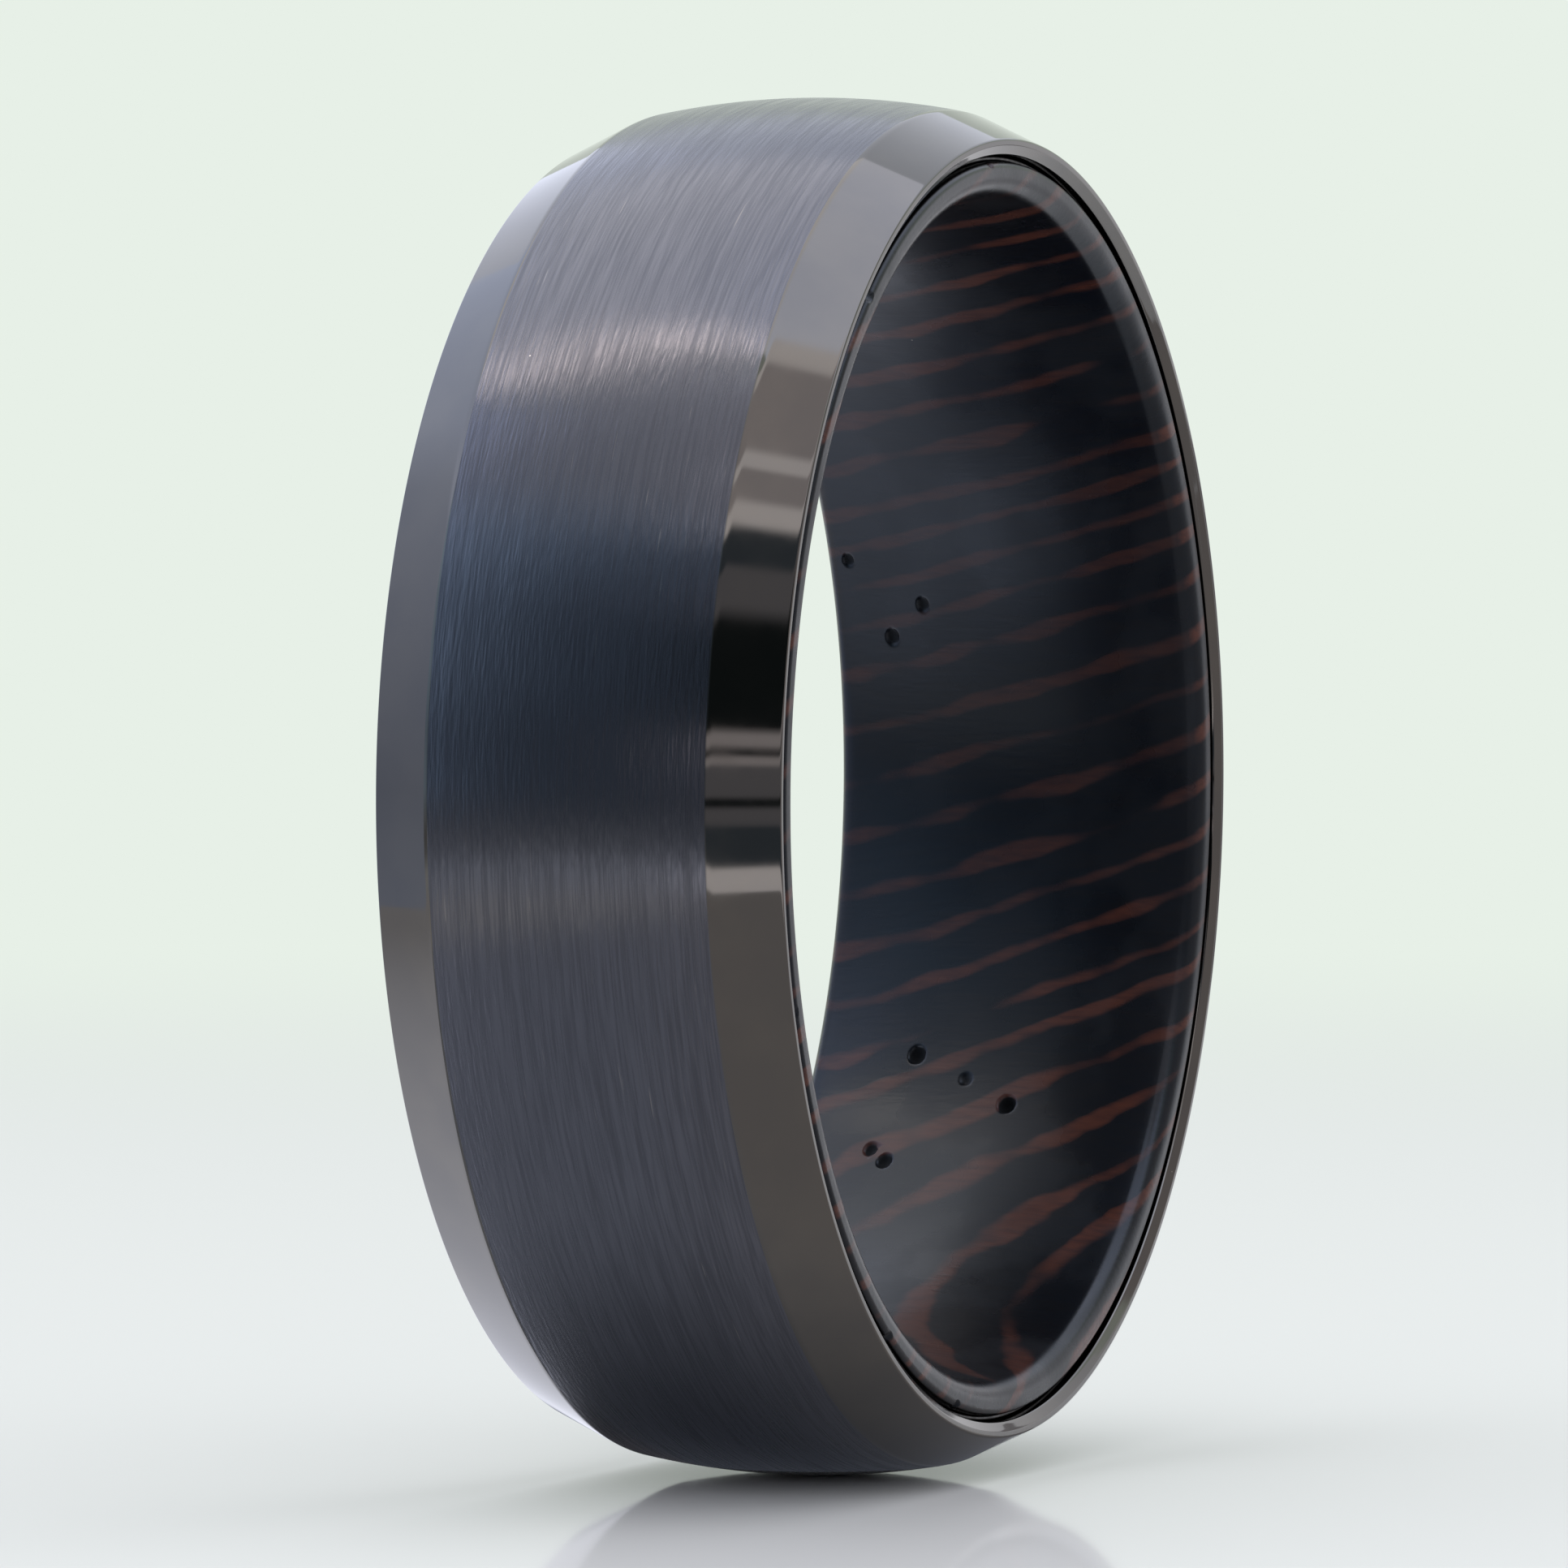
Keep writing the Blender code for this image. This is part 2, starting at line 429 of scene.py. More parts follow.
def makeDarkWood():
    material, tree, shader = newFinish("darkWood")
    look = woodLook
    place = surfacePlace(tree)
    fibres = noiseValue(tree, surfacePlace(tree, look["fibreScale"]), detail=3.0, roughness=0.6)
    lines = woodLines(tree, place, fibres)
    marks = addMarks(tree, look)
    colour = blendColour(tree, rise(tree, fibres, *look["brownRange"]), look["dark"], look["brown"])
    colour = blendColour(tree, lines, colour, look["line"])
    colour = blendColour(tree, marks["Specks"], colour, look["dust"])
    reach = lengthOf(tree, surfacePlace(tree, (1, 0, 1)))
    # Painted shade in the pores, darker the deeper they lie, and the dark outer wall in the same colour
    shadedPores = poreMask(tree, place, reach)
    walled = rise(tree, reach, *[woodRadius / mm - skin for skin in look["wallSkin"]])
    colour = blendColour(tree, calc(tree, "MAXIMUM", shadedPores, walled), colour, look["hollow"])
    low, high = look["roughness"]
    rough = rise(tree, marks["Smudges"], 0.0, 1.0, floor=low, top=high)
    rough = calc(tree, "MAXIMUM", rough, calc(tree, "MULTIPLY", shadedPores, look["poreRoughness"]))
    relief = calc(tree, "ADD", fibres, calc(tree, "MULTIPLY", lines, look["lineRelief"]))
    normal = bumpNormal(tree, relief, look["grainStrength"], look["grainDepth"])
    tree.links.new(colour, shader.inputs["Base Color"])
    tree.links.new(rough, shader.inputs["Roughness"])
    tree.links.new(normal, shader.inputs["Normal"])
    shader.inputs["Specular IOR Level"].default_value = look["gloss"]
    shader.inputs["Specular Tint"].default_value = look["sheen"]
    return material


# Cured adhesive deep in the groove
adhesiveLook = {
    "colour": (0.005, 0.005, 0.006, 1),
    "pale": (0.012, 0.011, 0.011, 1),
    "roughness": (0.32, 0.5),
    "lumpScale": (6, 6, 6),      # lumps in a millimetre
    "lumpRange": (0.3, 0.7),
    "lumpStrength": 0.6,
    "depth": 0.01 * mm,
}


def makeAdhesive():
    material, tree, shader = newFinish("darkAdhesive")
    look = adhesiveLook
    lumps = noiseValue(tree, surfacePlace(tree, look["lumpScale"]), detail=3.0)
    colour = blendColour(tree, lumps, look["colour"], look["pale"])
    low, high = look["roughness"]
    rough = rise(tree, lumps, *look["lumpRange"], floor=low, top=high)
    normal = bumpNormal(tree, lumps, look["lumpStrength"], look["depth"])
    tree.links.new(colour, shader.inputs["Base Color"])
    tree.links.new(rough, shader.inputs["Roughness"])
    tree.links.new(normal, shader.inputs["Normal"])
    return material


brushedMetal = makeBrushedMetal()
polishedMetal = makePolishedMetal()
darkWood = makeDarkWood()
darkAdhesive = makeAdhesive()
print("finishes made")


# Points of a profile are (radius, place along the band)
def arcPoints(centre, radius, startAngle, endAngle, steps):
    points = []
    for step in range(steps + 1):
        angle = startAngle + (endAngle - startAngle) * step / steps
        points.append((centre[0] + radius * math.cos(angle), centre[1] + radius * math.sin(angle)))
    return points


def linePoints(start, end, steps):
    return [
        (start[0] + (end[0] - start[0]) * step / steps, start[1] + (end[1] - start[1]) * step / steps)
        for step in range(steps + 1)
    ]


# Arc tangent to both runs in place of the corner between them
def roundCorner(before, corner, after, radius, steps):
    back = (Vector(before) - Vector(corner)).normalized()
    ahead = (Vector(after) - Vector(corner)).normalized()
    halfAngle = math.acos(back.dot(ahead)) / 2
    reach = radius / math.tan(halfAngle)
    start = Vector(corner) + back * reach
    end = Vector(corner) + ahead * reach
    centre = Vector(corner) + (back + ahead).normalized() * (radius / math.sin(halfAngle))
    startAngle = math.atan2(start.y - centre.y, start.x - centre.x)
    endAngle = math.atan2(end.y - centre.y, end.x - centre.x)
    sweep = math.remainder(endAngle - startAngle, math.tau)
    return arcPoints(centre, radius, startAngle, startAngle + sweep, steps)


def otherEnd(points):
    return [(radius, -along) for radius, along in reversed(points)]


# Turns a closed profile once round the band's axis. Each point has a finish,
# which is the place in the list of materials for the run that follows it.
def turnRing(name, points, finishes, steps, materials):
    verts = []
    for step in range(steps):
        angle = math.tau * step / steps
        for radius, along in points:
            verts.append((radius * math.cos(angle), along, radius * math.sin(angle)))
    count = len(points)
    faces = []
    slots = []
    for step in range(steps):
        here = step * count
        there = (step + 1) % steps * count
        for index in range(count):
            after = (index + 1) % count
            faces.append((here + index, there + index, there + after, here + after))
            slots.append(finishes[index])
    mesh = bpy.data.meshes.new(name)
    mesh.from_pydata(verts, [], faces)
    for material in materials:
        mesh.materials.append(material)
    mesh.polygons.foreach_set("material_index", slots)
    mesh.polygons.foreach_set("use_smooth", [True] * len(faces))
    mesh.update()
    ring = bpy.data.objects.new(name, mesh)
    bpy.context.collection.objects.link(ring)
    return ring


def dress(piece, node):
    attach(piece, "root")
    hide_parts(node)
    print(piece.name, "made,", len(piece.data.polygons), "faces")


# Metal shell
shellShape = {
    "wall": 0.985 * mm,          # under the crown
    "domeRise": 0.23 * mm,
    "bevelWidth": 1.06 * mm,     # along the band
    "landWidth": 0.10 * mm,      # flat ring at each end
    "innerBevelWidth": 0.16 * mm,
    "innerBevelDepth": 0.10 * mm,
    "lipRound": 0.045 * mm,      # land to bevel
    "landRound": 0.03 * mm,      # land to inner bevel
    "boreRound": 0.05 * mm,      # inner bevel to bore
    "domeEdgeRound": 0.40 * mm,
    "edgeSupport": 0.03 * mm,    # keeps the bevel flat up to its rounded edges
    "turnSteps": 480,
    "domeSteps": 40,
    "domeEdgeSteps": 6,
    "bevelSteps": 8,
    "lipSteps": 8,
    "landSteps": 2,
    "landRoundSteps": 4,
    "innerBevelSteps": 4,
    "boreRoundSteps": 5,
    "boreSteps": 6,
}


def buildShell():
    shape = shellShape
    boreRadius = crownRadius - shape["wall"]
    domeHalf = bandHalf - shape["bevelWidth"]
    domeEdge = (crownRadius - shape["domeRise"], domeHalf)
    boreCorner = (boreRadius, bandHalf - shape["innerBevelDepth"])
    landCorner = (boreRadius + shape["innerBevelWidth"], bandHalf)
    rim = (landCorner[0] + shape["landWidth"], bandHalf)
    domeRadius = arcRadius(domeHalf, shape["domeRise"])
    edgeAngle = math.asin(domeHalf / domeRadius)
    domeTangent = (domeEdge[0] + math.sin(edgeAngle), domeEdge[1] - math.cos(edgeAngle))
    edgeRound = roundCorner(rim, domeEdge, domeTangent, shape["domeEdgeRound"], shape["domeEdgeSteps"])
    lip = roundCorner(landCorner, rim, domeEdge, shape["lipRound"], shape["lipSteps"])
    landEdge = roundCorner(boreCorner, landCorner, rim, shape["landRound"], shape["landRoundSteps"])
    top = roundCorner((boreRadius, 0), boreCorner, landCorner, shape["boreRound"], shape["boreRoundSteps"])
    top += linePoints(top[-1], landEdge[0], shape["innerBevelSteps"])[1:-1] + landEdge
    top += linePoints(landEdge[-1], lip[0], shape["landSteps"])[1:-1] + lip
    bevel = Vector(edgeRound[0]) - Vector(lip[-1])
    support = bevel.normalized() * shape["edgeSupport"]
    bevelStart = tuple(Vector(lip[-1]) + support)
    bevelEnd = tuple(Vector(edgeRound[0]) - support)
    top += linePoints(bevelStart, bevelEnd, shape["bevelSteps"]) + edgeRound[:-1]
    startAngle = math.asin(edgeRound[-1][1] / domeRadius)
    centre = (crownRadius - domeRadius, 0)
    dome = arcPoints(centre, domeRadius, startAngle, -startAngle, shape["domeSteps"])
    bottom = otherEnd(top)
    bore = linePoints(bottom[-1], top[0], shape["boreSteps"])[1:-1]
    points = top + dome + bottom + bore
    brushed, polished = 0, 1
    finishes = [polished] * len(points)
    for index in range(len(top), len(top) + shape["domeSteps"]):
        finishes[index] = brushed
    ring = turnRing("metalShell", points, finishes, shape["turnSteps"], [brushedMetal, polishedMetal])
    dress(ring, "outer_band")


# Adhesive film between shell and wood
filmShape = {
    "thickness": 0.06 * mm,
    "sunk": 0.1 * mm,            # deeper in the groove than the film of the frame
    "endRound": 0.02 * mm,
    "roundSteps": 3,
    "turnSteps": 240,
}


def buildFilm():
    shape = filmShape
    inner = filmRadius - shape["thickness"]
    innerCorner = (inner, filmHalf - shape["sunk"])
    outerCorner = (filmRadius, filmHalf - shape["sunk"])
    top = roundCorner((inner, 0), innerCorner, outerCorner, shape["endRound"], shape["roundSteps"])
    top += roundCorner(innerCorner, outerCorner, (filmRadius, 0), shape["endRound"], shape["roundSteps"])
    points = top + otherEnd(top)
    ring = turnRing("adhesiveFilm", points, [0] * len(points), shape["turnSteps"], [darkAdhesive])
    dress(ring, "bond_film")


# Wood lining
# Open pores in the bore: degrees round the band, then millimetres along it, round it, along it and deep
woodPores = [
    (13.9, 2.23, 0.34, 0.28, 0.08),
    (17.5, 1.58, 0.32, 0.26, 0.07),
    (22.0, 2.94, 0.28, 0.24, 0.07),
    (-30.6, 1.34, 0.38, 0.33, 0.16),
    (-33.5, 0.32, 0.28, 0.26, 0.06),
    (-36.4, -0.54, 0.38, 0.33, 0.22),
    (-43.8, 1.45, 0.36, 0.30, 0.12),
    (-42.2, 1.78, 0.33, 0.28, 0.10),
]
# Chips in the corner beside the groove: degrees round the band, then millimetres round it and deep
woodChips = [
    (-103.6, 0.24, 0.13),
    (-122.7, 0.22, 0.13),
    (-161.6, 0.18, 0.12),
    (94.6, 0.22, 0.12),
    (128.7, 0.26, 0.12),
]
# More pores, scattered over the part of the bore that the photo hides
poreChance = {
    "seed": 7,
    "count": 18,
    "size": (0.14, 0.26),        # millimetres along the band
    "degrees": (100, 260),       # round the band
    "along": (-2.6, 2.6),        # millimetres from its middle
    "widthShare": 1.2,           # of the size
    "depthShare": 0.5,
}
woodCut = {
    "poreSkin": 0.2 * mm,        # pores stay this far from the outer wall
    "poreReach": 1.9,            # faces are made finer out to this many times the mark's half size
    "chipReach": 1.8,
    "chipShare": 0.6,            # of a chip's depth, taken off the end
    "finer": 3,                  # cuts through each edge
}


# Arc length between two angles, the short way round
def roundBand(angle, centre, radius):
    return math.remainder(angle - centre, math.tau) * radius


# Finer faces where the test holds
def refine(shape, isNear):
    near = [face for face in shape.faces if isNear(face.calc_center_median())]
    edges = list({edge for face in near for edge in face.edges})
    bmesh.ops.subdivide_edges(shape, edges=edges, cuts=woodCut["finer"], use_grid_fill=True)


def inBore(point):
    return math.hypot(point.x, point.z) < woodRadius - woodCut["poreSkin"]


def pitPores(shape, pores):
    for degrees, along, across, length, depth in pores:
        centre = math.radians(degrees)
        halfAcross = across * mm / 2
        halfLength = length * mm / 2

        def gap(point):
            aside = roundBand(math.atan2(point.z, point.x), centre, fingerRadius)
            return math.hypot(aside / halfAcross, (point.y - along * mm) / halfLength)

        refine(shape, lambda point: inBore(point) and gap(point) < woodCut["poreReach"])
        for vert in shape.verts:
            if inBore(vert.co) and gap(vert.co) < 1:
                radius = math.hypot(vert.co.x, vert.co.z)
                grown = 1 + depth * mm * (1 - gap(vert.co) ** 2) / radius
                vert.co.x *= grown
                vert.co.z *= grown


# Chips are scooped out of the near end's outer corner
def chipCorner(shape, chips):
    for degrees, across, depth in chips:
        centre = math.radians(degrees)
        halfAcross = across * mm / 2

        def gap(point):
            aside = roundBand(math.atan2(point.z, point.x), centre, woodRadius)
            inwards = woodRadius - math.hypot(point.x, point.z)
            below = (point.y + woodHalf) / (2 * depth * mm)
            return max(math.hypot(aside / halfAcross, inwards / (depth * mm)), below)

        refine(shape, lambda point: gap(point) < woodCut["chipReach"])
        for vert in shape.verts:
            if gap(vert.co) < 1:
                vert.co.y += depth * mm * woodCut["chipShare"] * (1 - gap(vert.co) ** 2)


def scatterPores():
    dice = random.Random(poreChance["seed"])
    pores = []
    for _ in range(poreChance["count"]):
        size = dice.uniform(*poreChance["size"])
        degrees = dice.uniform(*poreChance["degrees"])
        along = dice.uniform(*poreChance["along"])
        pores.append((degrees, along, size * poreChance["widthShare"], size, size * poreChance["depthShare"]))
    return pores


def buildWood():
    shape = woodShape
    boreArc = arcRadius(woodHalf, shape["comfortRise"])
    boreCentre = (fingerRadius + boreArc, 0)
    mouthRound = shape["mouthRound"]
    mouthHeight = woodHalf - mouthRound
    mouthAngle = math.pi - math.asin(mouthHeight / (boreArc - mouthRound))
    mouthMiddle = boreCentre[0] + (boreArc - mouthRound) * math.cos(mouthAngle)
    top = arcPoints((mouthMiddle, mouthHeight), mouthRound, mouthAngle, math.pi / 2, shape["mouthSteps"])
    endFace = (mouthMiddle, woodHalf)
    corner = (woodRadius, woodHalf)
    cornerArc = roundCorner(endFace, corner, (woodRadius, 0), shape["cornerRound"], shape["cornerSteps"])
    top += linePoints(top[-1], cornerArc[0], shape["endSteps"])[1:-1] + cornerArc
    bottom = otherEnd(top)
    bore = arcPoints(boreCentre, boreArc, math.tau - mouthAngle, mouthAngle, shape["boreSteps"])[1:-1]
    outside = linePoints(top[-1], bottom[0], shape["outsideSteps"])[1:-1]
    points = top + outside + bottom + bore
    ring = turnRing("woodLining", points, [0] * len(points), shape["turnSteps"], [darkWood])
    form = bmesh.new()
    form.from_mesh(ring.data)
    pitPores(form, woodPores + scatterPores())
    chipCorner(form, woodChips)
    form.to_mesh(ring.data)
    form.free()
    dress(ring, "wood_sleeve")


buildShell()
buildFilm()
buildWood()

# Studio: a pale room, a soft panel overhead, and cards that are only seen in reflections
studio = {
    "pale": (0.80, 0.87, 0.80, 1),
    "fill": (0.90, 0.92, 0.95, 1),       # light of the room on matt surfaces
    "lampGlow": 0.45,                    # light of the overhead lamp on matt surfaces
    "panelWarm": (1.93, 1.90, 1.94, 1),  # the same lamp as the metal reflects it, over the far end
    "panelCool": (1.95, 2.04, 2.40, 1),  # and over the near end
    "warmRange": (-25.0, 15.0),          # millimetres along the band, from cool to warm
    "panelFrom": (-44 * mm, -150 * mm),
    "panelTo": (104 * mm, 170 * mm),
    "panelHeight": 150 * mm,
    "farGlow": (1.22, 1.28, 1.43, 1),    # the ceiling behind the lamp
    "farTo": 240 * mm,
    "lastTo": (420 * mm, 70 * mm),
    "edgeGlow": (6.5, 5.5, 4.8, 1),      # strip along the panel's front edge
    "edgeWidth": 14 * mm,
    "edgeFrom": 15 * mm,
    "edgeDrop": 1 * mm,
    "floorColour": (0.92, 0.92, 0.94, 1),
    "floorRadius": 0.45,
    "floorSteps": 96,
    "floorGloss": 1.08,
    "floorRoughness": 0.06,
    "slantRange": (0.14, 0.34),          # glossy only where it is seen at a low slant
    "fadeRange": (80.0, 210.0),          # millimetres from the band, where the table melts into the room
    "tableCardLift": 0.2 * mm,
}


def makeWorld():
    world = bpy.data.worlds.new("paleRoom")
    bpy.context.scene.world = world
    world.use_nodes = True
    tree = world.node_tree
    rays = addNode(tree, "ShaderNodeLightPath").outputs
    seen = calc(tree, "MAXIMUM", rays["Is Camera Ray"], rays["Is Glossy Ray"])
    seen = calc(tree, "MAXIMUM", seen, rays["Is Transmission Ray"])
    colour = blendColour(tree, seen, studio["fill"], studio["pale"])
    background = tree.nodes["Background"]
    background.inputs["Strength"].default_value = 1.0
    tree.links.new(colour, background.inputs["Color"])


# Lamp that faces down and lights the matt surfaces
def addLamp(start, end, height, glow):
    width = end[0] - start[0]
    depth = end[1] - start[1]
    lamp = bpy.data.lights.new("overheadLamp", "AREA")
    lamp.shape = "RECTANGLE"
    lamp.size = width
    lamp.size_y = depth
    lamp.energy = glow * math.pi * width * depth
    panel = bpy.data.objects.new("overheadLamp", lamp)
    panel.location = ((start[0] + end[0]) / 2, (start[1] + end[1]) / 2, height)
    panel.visible_glossy = False
    bpy.context.collection.objects.link(panel)


def makeFloor():
    shape = bmesh.new()
    radius = studio["floorRadius"]
    bmesh.ops.create_circle(shape, cap_ends=True, radius=radius, segments=studio["floorSteps"])
    mesh = bpy.data.meshes.new("tableTop")
    shape.to_mesh(mesh)
    shape.free()
    floor = bpy.data.objects.new("tableTop", mesh)
    floor.location.z = floorLevel
    bpy.context.collection.objects.link(floor)
    material, tree, shader = newFinish("paleTable")
    far = rise(tree, lengthOf(tree, surfacePlace(tree)), *studio["fadeRange"])
    shader.inputs["Base Color"].default_value = studio["floorColour"]
    shader.inputs["Roughness"].default_value = 1
    shader.inputs["Specular IOR Level"].default_value = 0
    shine = addNode(tree, "ShaderNodeBsdfGlossy", {"Roughness": studio["floorRoughness"]})
    slant = addNode(tree, "ShaderNodeFresnel", {"IOR": studio["floorGloss"]}).outputs[0]
    slant = calc(tree, "MULTIPLY", slant, rise(tree, slant, *studio["slantRange"]))
    table = addNode(tree, "ShaderNodeMixShader", {0: slant, 1: shader.outputs[0], 2: shine.outputs[0]})
    glow = addNode(tree, "ShaderNodeEmission", {"Color": studio["pale"], "Strength": 1.0})
    mix = addNode(tree, "ShaderNodeMixShader", {0: far, 1: table.outputs[0], 2: glow.outputs[0]})
    tree.links.new(mix.outputs[0], tree.nodes["Material Output"].inputs["Surface"])
    mesh.materials.append(material)


# Card that only reflections see, and only from its inner side
def addCard(name, verts, faces, paint):
    mesh = bpy.data.meshes.new(name)
    mesh.from_pydata(verts, [], faces)
    card = bpy.data.objects.new(name, mesh)
    bpy.context.collection.objects.link(card)
    card.visible_camera = False
    card.visible_diffuse = False
    card.visible_shadow = False
    card.visible_transmission = False
    card.visible_volume_scatter = False
    material, tree, shader = newFinish(name)
    tree.nodes.remove(shader)
    glow = addNode(tree, "ShaderNodeEmission", {"Color": paint(tree)})
    clear = addNode(tree, "ShaderNodeBsdfTransparent")
    behind = addNode(tree, "ShaderNodeNewGeometry").outputs["Backfacing"]
    mix = addNode(tree, "ShaderNodeMixShader", {0: behind, 1: glow.outputs[0], 2: clear.outputs[0]})
    tree.links.new(mix.outputs[0], tree.nodes["Material Output"].inputs["Surface"])
    mesh.materials.append(material)


# Card that runs round the band from one azimuth to another, between two points of (radius, height)
def addCurvedCard(name, start, end, azimuths, paint):
    steps = 60
    verts = []
    for radius, height in (start, end):
        for step in range(steps + 1):
            azimuth = math.radians(azimuths[0] + (azimuths[1] - azimuths[0]) * step / steps)
            verts.append((radius * math.sin(azimuth), -radius * math.cos(azimuth), height))
    above = steps + 1
    faces = [(step, step + above, step + above + 1, step + 1) for step in range(steps)]
    addCard(name, verts, faces, paint)


# Level card that faces down, between two corners seen from above
def addLevelCard(name, start, end, height, paint):
    corners = [(start[0], start[1]), (start[0], end[1]), (end[0], end[1]), (end[0], start[1])]
    addCard(name, [(x, y, height) for x, y in corners], [(0, 1, 2, 3)], paint)


# Colour ramp over heights in millimetres
def heightRamp(tree, stops):
    low = stops[0][0]
    high = stops[-1][0]
    height = axesOf(tree, surfacePlace(tree))["Z"]
    node = addNode(tree, "ShaderNodeValToRGB", {"Fac": shareOf(tree, height, low, high)})
    ramp = node.color_ramp
    for place, _ in stops[1:-1]:
        ramp.elements.new((place - low) / (high - low))
    for element, (_, colour) in zip(ramp.elements, stops):
        element.color = (*colour, 1)
    return node.outputs["Color"]


def tintStops(stops, tint):
    return [(place, [glow * part for part in tint]) for place, glow in stops]


# Wall of the room in front. Heights are millimetres above the band's centre, azimuths are degrees.
frontWallLook = {
    "glow": [                            # height, brightness
        (-11.6, 0.72), (-8.8, 0.78), (-6.6, 0.36), (-1.4, 0.14), (6.5, 0.12), (14.1, 0.18),
        (23.2, 0.18), (33.2, 0.31), (45.9, 0.69), (61.5, 0.70), (85.8, 0.85), (132, 1.1),
    ],
    "tint": (0.77, 1.0, 1.28),
    "paleGain": 3.6,                     # extra light low down towards the side wall
    "paleAzimuths": (-138, -114),
    "paleFoot": (-5.0, 1.0),
    "paleTop": (24.0, 46.0),
    "warmTint": (1.27, 1.0, 0.82, 1),    # less blue at the foot and high up
    "warmFoot": (-5.0, 1.0),
    "warmTop": (32.0, 52.0),
    "bandAzimuths": (-92, -80),          # from the soft glow to the bands below
}
# Bands of light and shade further round that wall, which the near bevel mirrors: from, to, tone
roomTones = {
    "dark": (0.025, 0.032, 0.034),
    "shade": (0.125, 0.15, 0.18),
    "dim": (0.36, 0.35, 0.38),
    "wall": (1.00, 0.92, 0.94),
    "lamp": (1.88, 1.78, 1.80),
}
wallBands = [
    (-11.6, -8.5, "lamp"),
    (-8.2, -3.6, "shade"),
    (-3.1, -1.4, "dim"),
    (-1.0, -0.2, "dark"),
    (0.1, 3.6, "dim"),
    (3.9, 5.0, "wall"),
    (5.2, 5.7, "dark"),
    (6.0, 7.8, "wall"),
    (8.2, 22.4, "dark"),
    (25.0, 31.0, "dim"),
    (32.4, 38.6, "shade"),
    (40.6, 44.6, "lamp"),
    (46.5, 54.0, "wall"),
    (55.5, 59.2, "lamp"),
    (62.0, 107.0, "wall"),
    (112.0, 132.0, "lamp"),
]


def paintFrontWall(tree):
    look = frontWallLook
    soft = heightRamp(tree, tintStops(look["glow"], look["tint"]))
    bands = [(place, roomTones[tone]) for low, high, tone in wallBands for place in (low, high)]
    sharp = heightRamp(tree, bands)
    axes = axesOf(tree, surfacePlace(tree))
    height = axes["Z"]
    azimuth = calc(tree, "ARCTAN2", axes["X"], calc(tree, "MULTIPLY", axes["Y"], -1.0))
    azimuth = calc(tree, "DEGREES", azimuth)
    pale = calc(tree, "MULTIPLY", rise(tree, height, *look["paleFoot"]), fall(tree, height, *look["paleTop"]))
    pale = calc(tree, "MULTIPLY", pale, fall(tree, azimuth, *look["paleAzimuths"]))
    gain = calc(tree, "ADD", calc(tree, "MULTIPLY", pale, look["paleGain"]), 1.0)
    soft = blendColour(tree, 1.0, soft, gain, "MULTIPLY")
    warm = calc(tree, "ADD", fall(tree, height, *look["warmFoot"]), rise(tree, height, *look["warmTop"]))
    soft = blendColour(tree, warm, soft, look["warmTint"], "MULTIPLY")
    return blendColour(tree, rise(tree, azimuth, *look["bandAzimuths"]), soft, sharp)


# Wall at the side, which the far bevel and the wood mirror
sideWallLook = {
    "glow": [(-11.6, 0.70), (0, 0.60), (10, 0.74), (20, 0.90), (30, 1.08), (36, 1.45), (60, 1.6)],
    "tint": (0.90, 1.0, 1.29),
}


def paintSideWall(tree):
    return heightRamp(tree, tintStops(sideWallLook["glow"], sideWallLook["tint"]))


# Table at the side. Ranges are millimetres from the band's centre.
sideTableLook = {
    # painted shade: the table is darker close to the band
    "near": (1.12, 1.15, 1.30, 1),
    "middle": (1.46, 1.50, 1.70, 1),
    "far": (0.74, 0.73, 0.77, 1),
    "middleRange": (5.0, 8.0),
    "farRange": (8.0, 45.0),
    "shade": (0.26, 0.28, 0.34, 1),      # the band's own shade, which the top of the bore mirrors
    "shadeAlong": (7.8, 9.8),
    "shadeAcross": (0.3, 3.2),
    "under": (0.06, 0.06, 0.07, 1),      # painted shade under the band
    "underAlong": (3.2, 4.5),
}


def paintSideTable(tree):
    look = sideTableLook
    place = surfacePlace(tree, (1, 1, 0))
    axes = axesOf(tree, place)
    reach = lengthOf(tree, place)
    tone = blendColour(tree, rise(tree, reach, *look["middleRange"]), look["near"], look["middle"])
    tone = blendColour(tree, rise(tree, reach, *look["farRange"]), tone, look["far"])
    shade = fall(tree, axes["Y"], *look["shadeAlong"])
    shade = calc(tree, "MULTIPLY", shade, rise(tree, axes["X"], *look["shadeAcross"]))
    tone = blendColour(tree, shade, tone, look["shade"])
    return blendColour(tree, rise(tree, axes["Y"], *look["underAlong"]), look["under"], tone)


# Table in front, darker close to the band, where it keeps the light off. Ranges are stretched millimetres.
frontTableLook = {
    "close": (0.058, 0.064, 0.080, 1),
    "front": (0.53, 0.50, 0.50, 1),
    "back": (0.475, 0.495, 0.545, 1),
    # painted reflection: a bright strip along the table's front edge
    "edge": (0.82, 0.78, 0.72, 1),
    "stretch": (1, 1.5, 0),
    "middle": (0, 1.2, 0),               # of the dark part
    "closeRange": (3.5, 12.0),
    "backRange": (-9.0, 3.0),
    "edgeRange": (36.0, 42.0),
    "edgeAlong": (-6.0, 6.0),
}


def paintFrontTable(tree):
    look = frontTableLook
    place = surfacePlace(tree, look["stretch"])
    offset = addNode(tree, "ShaderNodeVectorMath", {0: place, 1: look["middle"]}, operation="SUBTRACT")
    reach = lengthOf(tree, offset.outputs["Vector"])
    along = axesOf(tree, place)["Y"]
    tone = blendColour(tree, rise(tree, along, *look["backRange"]), look["front"], look["back"])
    tone = blendColour(tree, rise(tree, reach, *look["closeRange"]), look["close"], tone)
    edge = rise(tree, reach, *look["edgeRange"])
    edge = calc(tree, "MULTIPLY", edge, rise(tree, along, *look["edgeAlong"]))
    return blendColour(tree, edge, tone, look["edge"])


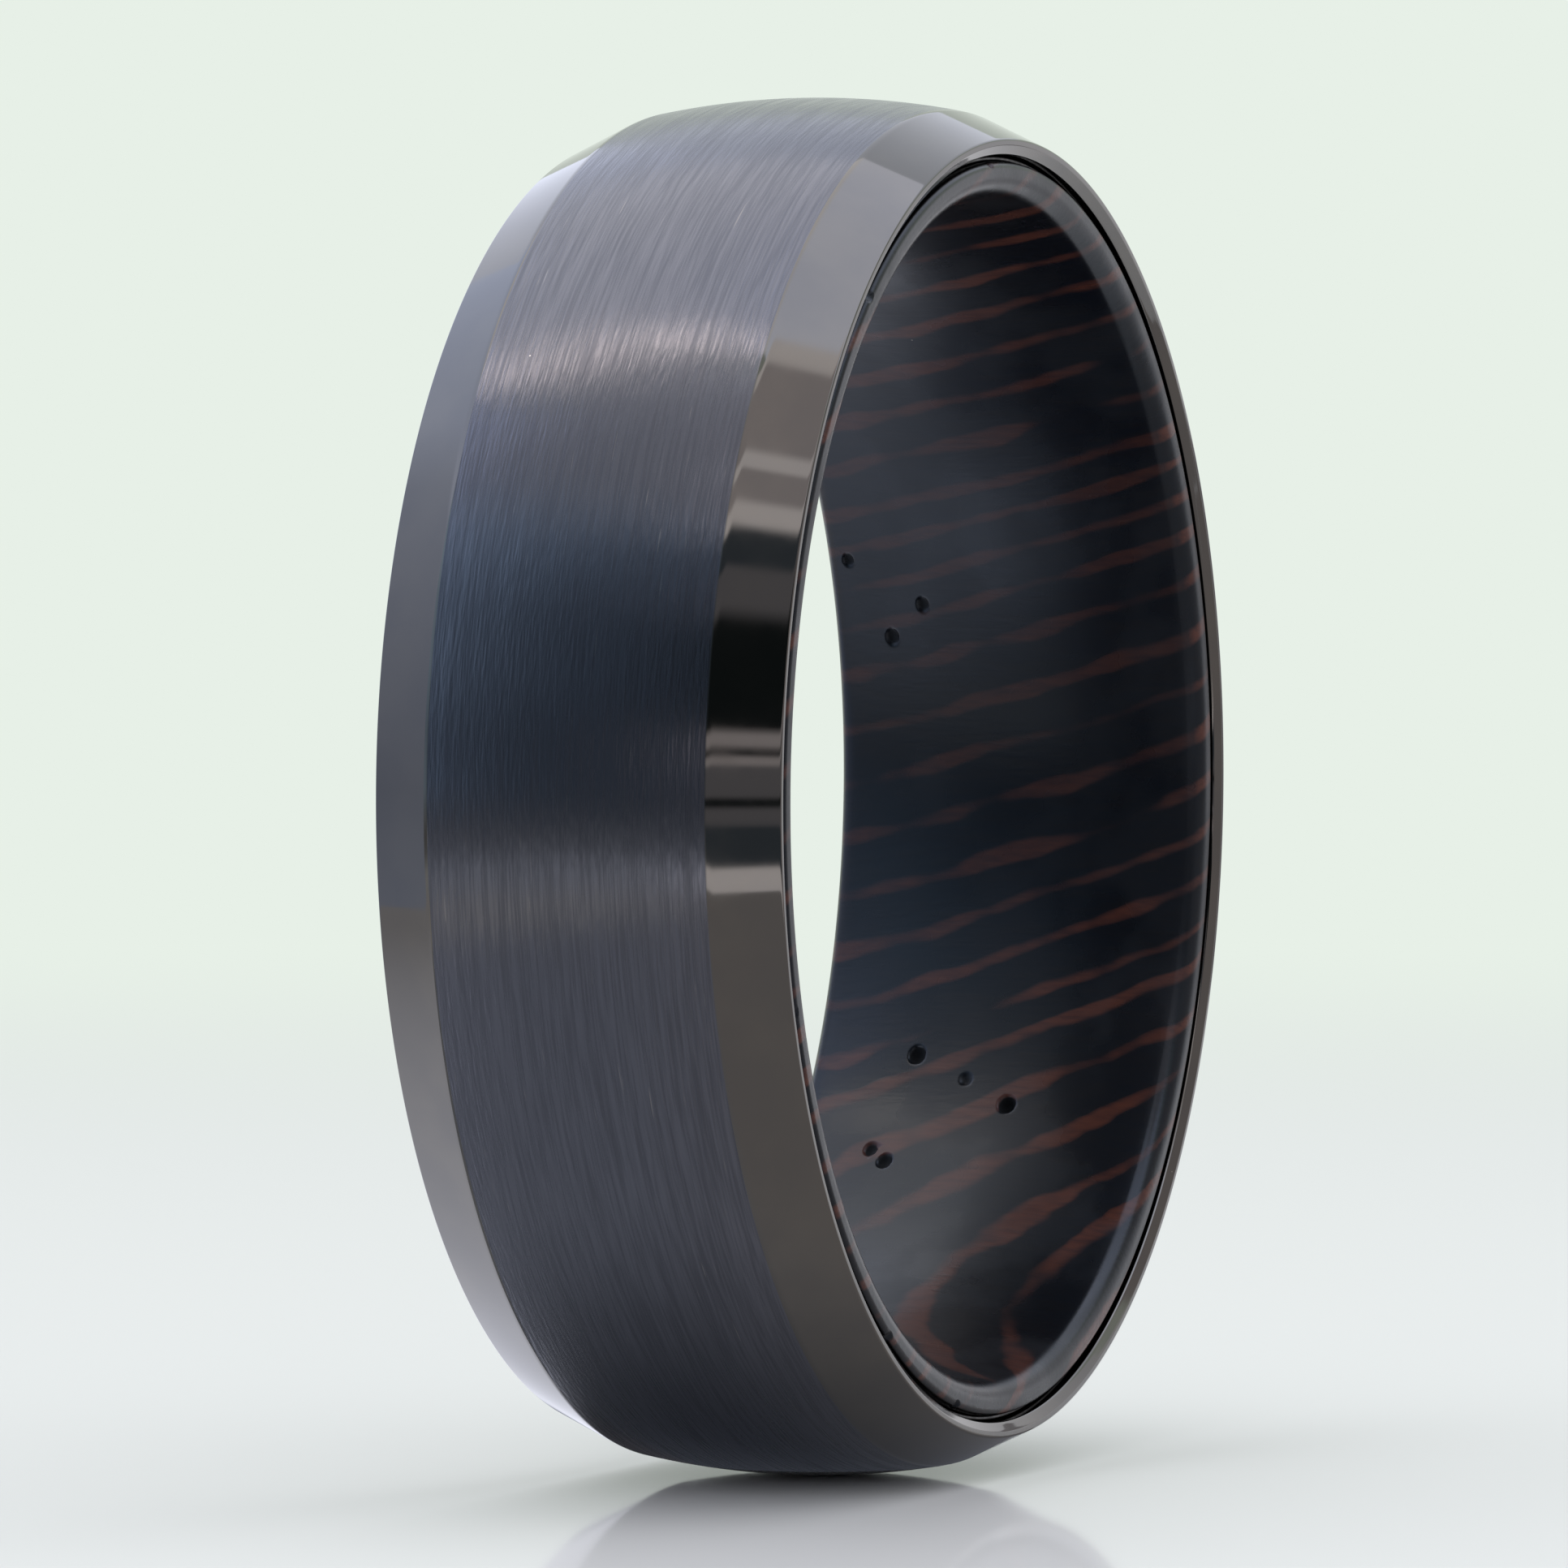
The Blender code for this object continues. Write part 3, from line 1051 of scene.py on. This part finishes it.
def paintOverhead(tree):
    along = axesOf(tree, surfacePlace(tree))["Y"]
    warm = rise(tree, along, *studio["warmRange"])
    return blendColour(tree, warm, studio["panelCool"], studio["panelWarm"])


def evenGlow(*colour):
    return lambda tree: colour


makeWorld()
makeFloor()
panelFrom = studio["panelFrom"]
panelTo = studio["panelTo"]
panelHeight = studio["panelHeight"]
addLamp(panelFrom, panelTo, panelHeight, studio["lampGlow"])
addLevelCard("overheadCard", panelFrom, panelTo, panelHeight, paintOverhead)
farStart = (panelTo[0], panelFrom[1])
farEnd = (studio["farTo"], panelTo[1])
addLevelCard("farCard", farStart, farEnd, panelHeight, evenGlow(*studio["farGlow"]))
lastStart = (studio["farTo"], panelFrom[1])
addLevelCard("lastCard", lastStart, studio["lastTo"], panelHeight, evenGlow(*studio["farGlow"]))
edgeStart = (panelFrom[0], studio["edgeFrom"])
edgeEnd = (panelFrom[0] + studio["edgeWidth"], panelTo[1])
addLevelCard("edgeCard", edgeStart, edgeEnd, panelHeight - studio["edgeDrop"], evenGlow(*studio["edgeGlow"]))

# Cards that stand round the band: name, radius, foot, top, azimuths in degrees, paint
standingCards = [
    ("frontWall", 50 * mm, floorLevel, 132 * mm, (-143, -15), paintFrontWall),
    ("sideWall", 50 * mm, floorLevel, 60 * mm, (-208, -143), paintSideWall),
    ("sideWallEnd", 50 * mm, 5 * mm, 60 * mm, (-235, -208), evenGlow(1.42, 1.50, 1.76, 1)),
    ("nearWall", 50 * mm, floorLevel, 30 * mm, (-15, 45), evenGlow(0.55, 0.51, 0.51, 1)),
    ("endWall", 60 * mm, floorLevel, 16 * mm, (46, 92), evenGlow(1.02, 1.02, 1.07, 1)),
    ("endShade", 59 * mm, -6 * mm, 6 * mm, (67.5, 75), evenGlow(0.40, 0.38, 0.40, 1)),
]
for name, radius, foot, top, azimuths, paint in standingCards:
    addCurvedCard(name, (radius, foot), (radius, top), azimuths, paint)
# Cards that lie on the table: name, inner and outer radius, azimuths in degrees, paint
lyingCards = [
    ("frontTable", 1 * mm, 49 * mm, (-130, 40), paintFrontTable),
    ("sideTable", 1 * mm, 50 * mm, (-250, -130), paintSideTable),
]
cardLevel = floorLevel + studio["tableCardLift"]
for name, inner, outer, azimuths, paint in lyingCards:
    addCurvedCard(name, (inner, cardLevel), (outer, cardLevel), azimuths, paint)
bpy.context.scene.view_settings.view_transform = "Standard"
print("studio lit")
